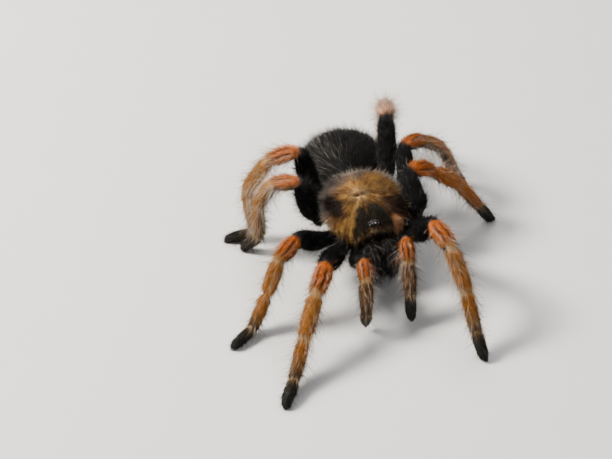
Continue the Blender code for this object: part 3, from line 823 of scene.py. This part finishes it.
def carapace_colour(points):
    """Colours of the carapace."""
    u, v, height = carapace_place(points)
    _, _, angle, radius = round_the_pit(u, v)
    fine = strands(angle, radius, 3)
    rays = np.clip(0.25 + 0.5 * fine + 0.50 * mottle(points, 2.3, 12), 0, 1)
    colour = ground_colour(points, u, v, rays, fine)
    colour = add_head_marks(colour, points, u, v, rays)
    pink = smoothstep(-0.46, -0.58, v) * smoothstep(0.40, 0.50, u)
    colour = blend(colour, CORAL, 0.95 * pink)
    colour = add_pit(colour, u, v)
    colour = add_rim(colour, points, u, v, height, rays, pink)
    return colour * (1 + 0.22 * mottle(points, 1.1, 6)[:, None])


def plain_dark(points):
    """The near-black of the body, a little uneven."""
    return blend(BLACK, SOOT, 0.5 + 0.5 * mottle(points, 2.0, 7))


def skin_colour(points):
    """The marking under every point of the skin."""
    found = REGIONS.find(points)
    colour = plain_dark(points)
    upper = REGIONS.mask(found, "carapace")
    colour[upper] = carapace_colour(points[upper])
    for name, limb in LIMB_LINES.items():
        mine = REGIONS.mask(found, name)
        _, place, around = limb.locate(points[mine])
        colour[mine] = limb_colour(name, place, around, points[mine])
    return colour


# ---------------------------------------------------------------- coat

class Scatter:
    """Even random picking of places on the skin."""

    def __init__(self, mesh):
        self.points, self.faces, self.normals = mesh_arrays(mesh)
        self.areas = np.linalg.norm(face_crosses(self.points, self.faces), axis=1) / 2
        self.found = REGIONS.find(self.points[self.faces].mean(1))

    def pick(self, words, per_mm2, draw, keep=None):
        """Roots and normals on the named nodes, at a density, thinned by keep."""
        faces = np.flatnonzero(REGIONS.mask(self.found, *words))
        areas = self.areas[faces]
        count = int(areas.sum() * per_mm2)
        chosen = faces[draw.choice(len(faces), count, p=areas / areas.sum())]
        first, second = draw.random(count), draw.random(count)
        over = first + second > 1
        first[over], second[over] = 1 - first[over], 1 - second[over]
        shares = np.stack([1 - first - second, first, second], 1)[..., None]
        corners = self.faces[chosen]
        roots = (self.points[corners] * shares).sum(1)
        normals = unit((self.normals[corners] * shares).sum(1))
        if keep is not None:
            kept = draw.random(count) < keep(roots)
            roots, normals = roots[kept], normals[kept]
        return roots, normals


def hair_pattern(rings):
    """One straight hair as a pattern: a three-sided point one long, cut into even lengths."""
    shape = upright_cone(3, 0)
    for ring in range(1, rings):
        everything = shape.verts[:] + shape.edges[:] + shape.faces[:]
        bmesh.ops.bisect_plane(shape, geom=everything, plane_co=(0, 0, ring / rings),
                               plane_no=(0, 0, 1))
    points, faces = rows_of(shape)
    left = np.clip(1 - points[:, 2], 0, 1)
    points[:, :2] *= np.maximum(left, 0.001)[:, None] ** (HAIR_TAPER - 1)
    return points, faces


HAIR_PATTERNS = {rings: hair_pattern(rings) for rings in (1, 2, 3)}


def bent_hairs(pattern, roots, ways, bends, lengths, widths):
    """Corners of tapered three-sided hairs, each a bent copy of the pattern."""
    share = pattern[:, 2][None, :, None]
    side = unit(np.cross(ways, bends + NUDGE))
    other = np.cross(ways, side)
    rim = (pattern[:, 0][None, :, None] * side[:, None]
           + pattern[:, 1][None, :, None] * other[:, None])
    line = ways[:, None] * share + bends[:, None] * share * share
    points = roots[:, None] + line * lengths[:, None, None] + rim * (widths * 0.5)[:, None, None]
    points = points.reshape(-1, 3)
    points[:, 2] = np.maximum(points[:, 2], LOWEST_HAIR)
    return points


def kept_in_box(roots, ways, bends, lengths):
    """Lengths, cut back where a hair would reach well past the frame's box."""
    reach = (ways + bends) * lengths[:, None]
    room = np.where(reach > 0, BOX_HIGH - roots, roots - BOX_LOW) + BOX_MARGIN
    share = (room / np.maximum(np.abs(reach), 0.001)).min(axis=1)
    return lengths * np.clip(share, SHORTEST_CUT, 1)


def lifted(ways, normals, lift):
    """Directions that lie along the skin, raised by an angle in degrees."""
    flat = unit(ways - normals * (ways * normals).sum(1)[:, None])
    angle = np.radians(lift)[:, None]
    return flat * np.cos(angle) + normals * np.sin(angle)


# What a coat lays down for one layer: directions, bends and places on the unwrap, then
# shares of the layer's length, degrees more lift and shares of its width
Lay = namedtuple("Lay", "ways bends unwrap size lift width", defaults=(1.0, 0.0, 1.0))


class Coat:
    """Hairs grown in layers over some nodes and gathered into one piece."""

    slot = "black"
    thinned_from = math.inf     # the first layer that the share thins out
    size_spread = 0.22          # how much lengths and tones vary, as shares, and lifts in degrees
    tone_spread = 0.25
    lift_spread = 10
    lift_range = (4, 85)
    sink = 0.08                 # how deep under the skin a hair starts

    def __init__(self, name, words, layers):
        self.name, self.words, self.layers = name, words, layers
        self.parts, self.colours, self.maps = [], [], []

    def grow(self, scatter, draw):
        """Grow every layer; each kind of coat has its own share, lay and dye."""
        for number, layer in enumerate(self.layers):
            keep = self.share if number >= self.thinned_from else None
            roots, normals = scatter.pick(self.words, layer.density, draw, keep)
            count = len(roots)
            lay = self.lay(number, layer, roots, normals)
            spread = np.clip(1 + self.size_spread * draw.normal(size=count), *SIZE_RANGE)
            lifts = layer.lift + self.lift_spread * draw.normal(size=count) + lay.lift
            ways = lifted(lay.ways, normals, np.clip(lifts, *self.lift_range))
            ways = unit(ways + draw.normal(size=ways.shape) * layer.disorder)
            tone = 1 + self.tone_spread * draw.normal(size=(count, 1))
            colours = self.dye(number, roots, tone, draw)
            roots = roots - normals * self.sink
            lengths = kept_in_box(roots, ways, lay.bends, layer.length * spread * lay.size)
            widths = np.full(count, layer.width) * lay.width
            pattern, faces = HAIR_PATTERNS[layer.rings]
            points = bent_hairs(pattern, roots, ways, lay.bends, lengths, widths)
            faces = faces[None] + (np.arange(count) * len(pattern))[:, None, None]
            self.parts.append((points, faces.reshape(-1, 3)))
            self.gather(pattern, colours, lay.unwrap)

    def gather(self, pattern, colours, unwrap):
        """Each corner's colour, from root to tip, and its place on the unwrap."""
        root, tip = colours
        shade = pattern[:, 2][None, :, None]
        rows = (np.clip(root, DARKEST_ROOT, 1)[:, None] * (1 - shade)
                + np.clip(tip, DARKEST_TIP, 1)[:, None] * shade)
        self.colours.append(rows.reshape(-1, 3))
        patch = np.stack([pattern[:, 0] * 0.5, pattern[:, 2] - 0.5], axis=1) * HAIR_PATCH
        middles = np.clip(unwrap, UNWRAP_EDGE, 1 - UNWRAP_EDGE)[:, None]
        self.maps.append((middles + patch[None]).reshape(-1, 2))

    def build(self, finish):
        """Make the piece and give it its finish."""
        piece = mesh_object(self.name, *join(self.parts))
        mesh = piece.data
        paint(mesh, np.concatenate(self.colours))
        layer = mesh.uv_layers.new(name="OFBake")
        places = np.concatenate(self.maps).astype(np.float32)
        corners = np.empty(len(mesh.loops), dtype=np.int32)
        mesh.loops.foreach_get("vertex_index", corners)
        layer.data.foreach_set("uv", places[corners].ravel())
        finished(piece, finish, self.slot)


class LimbCoat(Coat):
    """The coat of one leg or palp: combed down it, long and pale below its outer half."""

    slot = "tan"
    thinned_from = 2
    tone_spread = 0.22

    def __init__(self, name):
        super().__init__(f"coat_{name}", (name,), LIMB_LAYERS)
        self.limb = LIMB_LINES[name]
        self.shortness = 0.85 if name.startswith("palp") else 1.0

    def share(self, roots):
        """Long hairs are densest under the outer half of a limb and few on top."""
        _, place, around = self.limb.locate(roots)
        below = smoothstep(0.7, 1.7, np.abs(around))
        outer = stretch(place, 1.0, 2.0, 3.95, 4.15)
        share = 0.12 + 0.44 * below * outer + 0.12 * outer + 0.16 * smoothstep(1.0, 0.8, place)
        if self.limb.name == "leg_left_4":
            share += 0.7 * bump_at(place, 1.3, 0.35)
        if self.limb.name == "leg_left_1":
            share += 0.45 * bump_at(around, 1.2, 0.7) * outer
        return share * FUZZ.get(self.limb.name, 1.0)

    def lay(self, number, layer, roots, normals):
        """Down the limb, raised in a brush under its outer end, and shorter towards its tip."""
        limb = self.limb
        station, self.place, self.around = limb.locate(roots)
        ways = limb.ways[station]
        below = smoothstep(1.3, 2.4, np.abs(self.around))
        brush = below * smoothstep(3.25, 3.5, self.place)
        thigh = (self.place < 1.0) * (number > 1)
        size = 1 - 0.35 * smoothstep(4.0, 4.15, self.place) - 0.30 * thigh
        size *= np.interp(limb.distance[-1] - limb.distance[station], [0.0, 2.5], [0.7, 1.0])
        size *= (1 - 0.30 * brush * (number > 0)) * self.shortness
        lift = 26 * brush * (number > 0) + 12 * below * (number > 1)
        bends = (ways * 0.8 - normals * 0.6) * layer.bend
        unwrap = np.stack([0.02 + 0.96 * (station + 0.5) / len(limb.centres),
                           0.5 + self.around / (2 * math.pi) * 0.96], axis=1)
        return Lay(ways, bends, unwrap, size, lift, 1 + 0.4 * brush)

    def dye(self, number, roots, tone, draw):
        """The limb's markings, with pale tips on many of the longer hairs."""
        base = limb_colour(self.limb.name, self.place, self.around, roots) * tone
        root, tip = base * 0.75, base * 1.2
        orange = stretch(self.place, 0.97, 1.05, 3.85, 3.95)
        if number == 1:
            below = smoothstep(1.2, 2.2, np.abs(self.around))
            pale = (draw.random(len(roots)) < 0.22 + 0.35 * below) * orange
            tip = blend(tip, STRAW, 0.65 * pale)
        if number > 1:
            pale = (draw.random(len(roots)) < 0.62) * orange
            root = blend(root, PALE_GREY, 0.35 * pale)
            tip = blend(tip, PALE_GREY, 0.92 * pale)
            tip = blend(tip, root, 0.6 * (1 - pale))
            grey = (draw.random(len(roots)) < 0.4) * (1 - orange)
            tip = blend(tip, SILVER, 0.45 * grey)
        return root, tip


def carapace_ways(points):
    """Hair runs out from the fovea, forward over the head, and down its brow."""
    u, v, height = carapace_place(points)
    x = (u - FOVEA[0]) * BODY.half[0]
    y = (v - FOVEA[1] - 0.05) * BODY.half[1]
    swirl = 0.35 * np.sin(3.0 * np.arctan2(x, y))
    out = unit(np.stack([x + swirl * y, y - swirl * x, np.zeros(len(x))], axis=1))
    out[:, 2] = -0.4
    down = brow(u, v, height)[:, None]
    return BODY.turn(unit(out * (1 - down) + down * np.array((0, -0.2, -1.0))))


def body_unwrap(points, normals):
    """Places on a plan of the front body, its underside laid beside its top."""
    u, v, _ = carapace_place(points)
    radius = np.clip(np.hypot(u, v), 0, PLAN_REACH) / PLAN_REACH
    angle = np.arctan2(u, v)
    centre = np.where(normals @ BODY.axes[2] < 0, 0.75, 0.25)
    return np.stack([centre + 0.24 * radius * np.sin(angle),
                     0.5 + 0.48 * radius * np.cos(angle)], axis=1)


class CarapaceCoat(Coat):
    """Velvet over the carapace, shorter round the eyes and in the pit."""

    slot = "brown"
    size_spread = 0.20
    tone_spread = 0.24
    lift_spread = 8
    lift_range = (3, 80)

    def lay(self, number, layer, roots, normals):
        """Out from the pit."""
        u, v, _ = carapace_place(roots)
        eyes = bump_at(np.linalg.norm(roots - box_middle("eye_mound"), axis=1), 0, 2.2)
        pit = bump_at(v - FOVEA[1], 0, 0.07) * bump_at(u - FOVEA[0], 0, 0.17)
        ways = carapace_ways(roots)
        return Lay(ways, ways * layer.bend, body_unwrap(roots, normals),
                   (1 - 0.72 * eyes) * (1 - 0.7 * pit))

    def dye(self, number, roots, tone, draw):
        """The carapace's markings, with pale tips where they are bright."""
        base = carapace_colour(roots)
        bright = smoothstep(0.03, 0.12, base.mean(1))
        base = base * tone
        tip = base * 1.3
        if number == 1:
            tip = blend(tip, STRAW, 0.40 * bright * (draw.random(len(roots)) < 0.35))
        if number == 2:
            tip = blend(tip, PALE_GREY, 0.25 + 0.3 * bright)
        return base * 0.75, tip


class FringeCoat(Coat):
    """The pale fringe that stands out all round the carapace's edge."""

    slot = "brown"
    thinned_from = 0
    size_spread = 0.28
    tone_spread = 0.18
    lift_spread = 16
    lift_range = (0, 80)

    def share(self, roots):
        """Only near the edge, and not over the brow."""
        u, v, height = carapace_place(roots)
        share = smoothstep(0.88, 0.97, carapace_edge(u, v)) * rim_paleness(u, v)
        return share * (1 - brow(u, v, height))

    def lay(self, number, layer, roots, normals):
        """Outward and a little up, longest behind."""
        _, v, _ = carapace_place(roots)
        ways = carapace_ways(roots)
        size = (1 + 0.15 * smoothstep(0.2, 0.9, v)) * (1 - 0.45 * smoothstep(-0.1, -0.6, v))
        return Lay(ways, ways * layer.bend + BODY.axes[2] * 0.12, body_unwrap(roots, normals), size)

    def dye(self, number, roots, tone, draw):
        """Straw in front, grey behind, darker at the root."""
        _, v, _ = carapace_place(roots)
        pale = blend(PALE_GREY, STRAW, 0.15 + 0.75 * smoothstep(-0.02, -0.40, v)) * tone
        pale *= 1 - 0.42 * smoothstep(0.1, 0.6, v)[:, None]
        return blend(pale, SILVER, 0.6), pale


class AbdomenCoat(Coat):
    """Black velvet with long pale hairs combed back over it."""

    lift_spread = 9
    sink = 0.1

    def lay(self, number, layer, roots, normals):
        """Combed back, and out from the middle in front."""
        out = roots - ABDOMEN_MIDDLE
        along = out @ ABDOMEN_WAY / ABDOMEN_HALF[1]
        height = out[:, 2] / ABDOMEN_HALF[2]
        front = smoothstep(-0.7, -0.95, along)[:, None]
        ways = unit(ABDOMEN_WAY + np.array((0, 0, -0.25)) + unit(out) * 0.8 * front)
        side = smoothstep(0.20, -0.85, out[:, 0] / ABDOMEN_HALF[0])
        crest = smoothstep(0.15, 0.60, along) * smoothstep(-0.2, 0.4, height)
        # Pale hair on the crest and the right side; on the crest it is partly real and partly
        # painted sheen.
        self.paleness_and_sheen = np.clip(0.02 + 0.45 * side + 0.52 * crest, 0, 0.85)
        angle = np.arctan2(out[:, 0], out[:, 2])
        unwrap = np.stack([0.5 + angle / (2 * math.pi) * 0.96, 0.5 + 0.42 * along], axis=1)
        # Wider long hairs on the crest give more pale cover there, partly a painted sheen.
        return Lay(ways, (ways - normals * 0.5) * layer.bend, unwrap,
                   1 - 0.45 * smoothstep(-0.3, -0.8, height), 9 * number * crest,
                   1 + 0.3 * crest * (number == 2))

    def dye(self, number, roots, tone, draw):
        """Near black, with pale hairs on the crest and the right side, those on the crest partly
        painted sheen.
        """
        base = plain_dark(roots) * tone
        tip = base * 1.6
        if number == 1:
            pale = draw.random(len(roots)) < 0.5 * self.paleness_and_sheen
            tip = blend(tip, PALE_GREY, 0.30 * pale)
        if number == 2:
            pale = draw.random(len(roots)) < self.paleness_and_sheen
            base = blend(base, SILVER, 0.35 * pale)
            tip = blend(tip, PALE_GREY, 0.92 * pale)
        return base * 0.8, tip


class LowerCoat(Coat):
    """Dark hair on the jaws or on the underside, some of it grey-tipped."""

    def __init__(self, name, words, layers, way_of, grey):
        super().__init__(name, words, layers)
        self.way_of, self.grey = way_of, grey

    def lay(self, number, layer, roots, normals):
        """The way that the part's own rule gives."""
        ways = self.way_of(roots)
        return Lay(ways, ways * layer.bend, body_unwrap(roots, normals))

    def dye(self, number, roots, tone, draw):
        """Near black, with more grey tips in the longer layers."""
        base = plain_dark(roots) * tone
        tip = base * 1.6
        if number:
            pale = draw.random(len(roots)) < self.grey * number * number
            tip = blend(tip, PALE_GREY, 0.75 * pale)
        return base, tip


def jaw_ways(points):
    """Hair on the jaws runs forward and down them."""
    front = smoothstep(-11.5, -15.0, BODY.local(points)[:, 1])
    forward = np.stack([np.zeros(len(points)), -(1 - front), -0.15 - front], axis=1)
    return BODY.turn(unit(forward))


def underside_ways(points):
    """Hair on the underside runs outward along the hips."""
    local = BODY.local(points)
    out = np.stack([local[:, 0], local[:, 1] * 0.8, np.full(len(points), -0.5)], axis=1)
    return BODY.turn(unit(out))


# ---------------------------------------------------------------- hard parts

def build_eyes(finish):
    """Eight glossy beads set into the mound."""
    mound = BODY.local(box_middle("eye_mound"))
    parts = []
    for sign in SIDES.values():
        for x, y, z, radius in EYES:
            centre = BODY.world(mound + np.array((sign * x, y, z - EYE_SINK)))
            parts.append(ball(centre, (radius, radius, radius)))
    finished(mesh_object("eyes", *join(parts)), finish, "eye", "eye_mound")


def build_fangs(finish):
    """Two smooth curved fangs, folded under the jaws."""
    parts = []
    for side in SIDES:
        points, _ = node_arrays(f"fang_{side}")
        start = facing_middle(points, node_arrays(f"chelicera_{side}")[0], FANG_REACH)
        tip = farthest(points, start)
        centres, radii = trace(f"fang_{side}", start, tip)
        centres = [start + unit(start - centres[0]) * FANG_ROOT, *centres, tip]
        parts.append(line_tube(centres, [radii[0], *radii, FANG_TIP], FANG_SIDES))
    finished(mesh_object("fangs", *join(parts)), finish, "fang", "fang_left", "fang_right")


def build_claws(finish):
    """The small hooked claws at the end of every leg: two on a leg, one on a palp."""
    parts = []
    for limb in LIMB_LINES.values():
        for spread in ((0.0,) if limb.name.startswith("palp") else (-CLAW_SPREAD, CLAW_SPREAD)):
            end = limb.centres[-1] + limb.across[-1] * spread
            line = np.array([end + limb.ways[-1] * forward + limb.upper[-1] * rise
                             for forward, rise in CLAW_LINE])
            line[:, 2] = np.maximum(line[:, 2], CLAW_LOWEST)
            parts.append(line_tube(line, CLAW_RADII, CLAW_SIDES, CLAW_SPACING))
    finished(mesh_object("claws", *join(parts)), finish, "fang")


# ---------------------------------------------------------------- finishes

class Value:
    """A shader number that plain arithmetic can be done on."""

    def __init__(self, shader, socket):
        self.shader, self.socket = shader, socket

    def _math(self, operation, first, second):
        return self.shader.node("ShaderNodeMath", {"operation": operation}, first, second)

    def __add__(self, other):
        return self._math("ADD", self, other)

    def __sub__(self, other):
        return self._math("SUBTRACT", self, other)

    def __mul__(self, other):
        return self._math("MULTIPLY", self, other)

    def __rsub__(self, other):
        return self._math("SUBTRACT", other, self)

    __radd__, __rmul__ = __add__, __mul__


class Shader:
    """A Principled finish and the nodes that feed it."""

    def __init__(self, name, **constants):
        self.material = bpy.data.materials.new(name)
        self.material.use_nodes = True
        self.tree = self.material.node_tree
        self.surface = self.tree.nodes["Principled BSDF"]
        for socket, value in constants.items():
            self.surface.inputs[socket.replace("_", " ")].default_value = value

    def node(self, kind, settings, *values, out=0, **named):
        """Add a node, set it up, feed it, and return one of its outputs."""
        made = self.tree.nodes.new(kind)
        for key, value in settings.items():
            setattr(made, key, value)
        for key, value in [*enumerate(values), *named.items()]:
            socket = made.inputs[key]
            if isinstance(value, Value):
                self.tree.links.new(value.socket, socket)
            else:
                socket.default_value = value
        return Value(self, made.outputs[out])

    def feed(self, socket, value):
        """Link a value to the surface."""
        self.tree.links.new(value.socket, self.surface.inputs[socket])

    def noise(self, scale, detail=3.0):
        """Noise from zero to one over the object."""
        place = self.node("ShaderNodeTexCoord", {}, out=3)
        return self.node("ShaderNodeTexNoise", {}, Vector=place, Scale=scale, Detail=detail)

    def scaled(self, colour, factor):
        """A colour made lighter or darker by a number."""
        return self.node("ShaderNodeVectorMath", {"operation": "SCALE"}, colour, Scale=factor)

    def tint(self, brightness):
        """The stored colour, made uneven by a number from zero to one."""
        stored = self.node("ShaderNodeAttribute", {"attribute_name": "tint"})
        return self.scaled(stored, brightness * 0.5 + 0.75)


def skin_finish():
    """Fine close hair between the solid hairs: mottled colour and a felted relief."""
    shader = Shader("skin", Roughness=0.7, Specular_IOR_Level=0.3)
    fine = shader.noise(6500, 2.0)
    shader.feed("Base Color", shader.tint(fine))
    shader.feed("Roughness", 0.85 - fine * 0.25)
    relief = shader.node("ShaderNodeBump", {}, Height=fine + shader.noise(2600),
                         Distance=0.00015, Strength=0.6)
    shader.feed("Normal", relief)
    return shader.material


def hair_finish():
    """Hair: the stored colour with a slight sheen along it."""
    shader = Shader("hair", Roughness=0.55, Specular_IOR_Level=0.14)
    shader.feed("Base Color", shader.tint(shader.noise(2200)))
    shader.feed("Roughness", shader.noise(900) * 0.2 + 0.45)
    return shader.material


def eye_finish():
    """Wet black glass."""
    shader = Shader("eye", Roughness=0.06, Coat_Weight=1.0, Coat_Roughness=0.03)
    shader.feed("Base Color", shader.scaled(EYE_BLACK, shader.noise(4000) * 1.2 + 0.4))
    return shader.material


def horn_finish():
    """Polished dark horn, uneven in tone and gloss."""
    shader = Shader("horn", Roughness=0.25, Coat_Weight=0.6, Coat_Roughness=0.15)
    shade = shader.noise(2500)
    shader.feed("Base Color", shader.scaled(HORN_RED, shade * 1.4 + 0.3))
    shader.feed("Roughness", shade * 0.2 + 0.15)
    return shader.material


def floor_finish():
    """A plain pale floor with a very faint grain."""
    shader = Shader("floor", Roughness=0.8, Specular_IOR_Level=0.2)
    shader.feed("Base Color", shader.scaled(FLOOR_COLOUR, shader.noise(60) * 0.04 + 0.98))
    return shader.material


# ---------------------------------------------------------------- stage

def set_round(thing, azimuth, elevation, distance, target):
    """Put a light or camera at a bearing, a height and a distance, facing the target."""
    a, e = math.radians(azimuth), math.radians(elevation)
    away = Vector((math.sin(a) * math.cos(e), -math.cos(a) * math.cos(e), math.sin(e)))
    thing.location = Vector(target) + away * distance
    thing.rotation_mode = "QUATERNION"
    thing.rotation_quaternion = (Vector(target) - thing.location).to_track_quat("-Z", "Y")


def build_camera():
    """The camera, in front, to the spider's right and above."""
    base = BODY.origin - CAMERA_BASE_DROP * BODY.axes[2]
    target = Vector((base[0] + CAMERA_TARGET[0], base[1] + CAMERA_TARGET[1], 0)) * MM
    lens = bpy.data.cameras.new("camera")
    lens.lens = CAMERA_LENS
    lens.sensor_width = CAMERA_SENSOR
    lens.clip_start, lens.clip_end = 0.01, 20
    camera = add_object("camera", lens)
    set_round(camera, CAMERA_AZIMUTH, CAMERA_ELEVATION, CAMERA_DISTANCE * MM, target)
    bpy.context.scene.camera = camera


def build_stage():
    """Pale floor, soft key light from the spider's right and behind, two fills and the room."""
    plane = bmesh.new()
    bmesh.ops.create_grid(plane, x_segments=1, y_segments=1, size=FLOOR_HALF_WIDTH)
    floor = mesh_object("floor", *rows_of(plane))
    floor.data.materials.append(floor_finish())
    floor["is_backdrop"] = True
    for name, (azimuth, elevation, distance, size, power, colour) in LIGHTS.items():
        data = bpy.data.lights.new(name, "AREA")
        data.size = size
        data.energy = power
        data.color = colour
        set_round(add_object(name, data), azimuth, elevation, distance, LIGHT_TARGET)
    world = bpy.data.worlds.new("room")
    world.use_nodes = True
    background = world.node_tree.nodes["Background"]
    background.inputs["Color"].default_value = ROOM_COLOUR
    background.inputs["Strength"].default_value = ROOM_STRENGTH
    bpy.context.scene.world = world


# ---------------------------------------------------------------- all of it

def main():
    """Camera, stage, skin, coats and hard parts."""
    build_camera()
    build_stage()
    skin = build_skin()
    scatter = Scatter(skin.data)
    paint(skin.data, skin_colour(scatter.points))
    flesh = [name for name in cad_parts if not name.startswith(("eye", "fang"))]
    finished(skin, skin_finish(), "black", *flesh)
    coats = [LimbCoat(name) for name in LIMBS]
    coats += [CarapaceCoat("coat_carapace", ("carapace",), CARAPACE_LAYERS),
              FringeCoat("coat_carapace_fringe", ("carapace",), FRINGE_LAYERS),
              AbdomenCoat("coat_abdomen", ("abdomen", "spinneret", "waist"), ABDOMEN_LAYERS),
              LowerCoat("coat_jaws", ("chelicera",), JAW_LAYERS, jaw_ways, 0.09),
              LowerCoat("coat_underside", ("prosoma_underside",), UNDERSIDE_LAYERS,
                        underside_ways, 0.15)]
    hair = hair_finish()
    draw = np.random.default_rng(SEED)
    for coat in coats:
        coat.grow(scatter, draw)
        coat.build(hair)
    horn = horn_finish()
    build_eyes(eye_finish())
    build_fangs(horn)
    build_claws(horn)


main()
low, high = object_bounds()
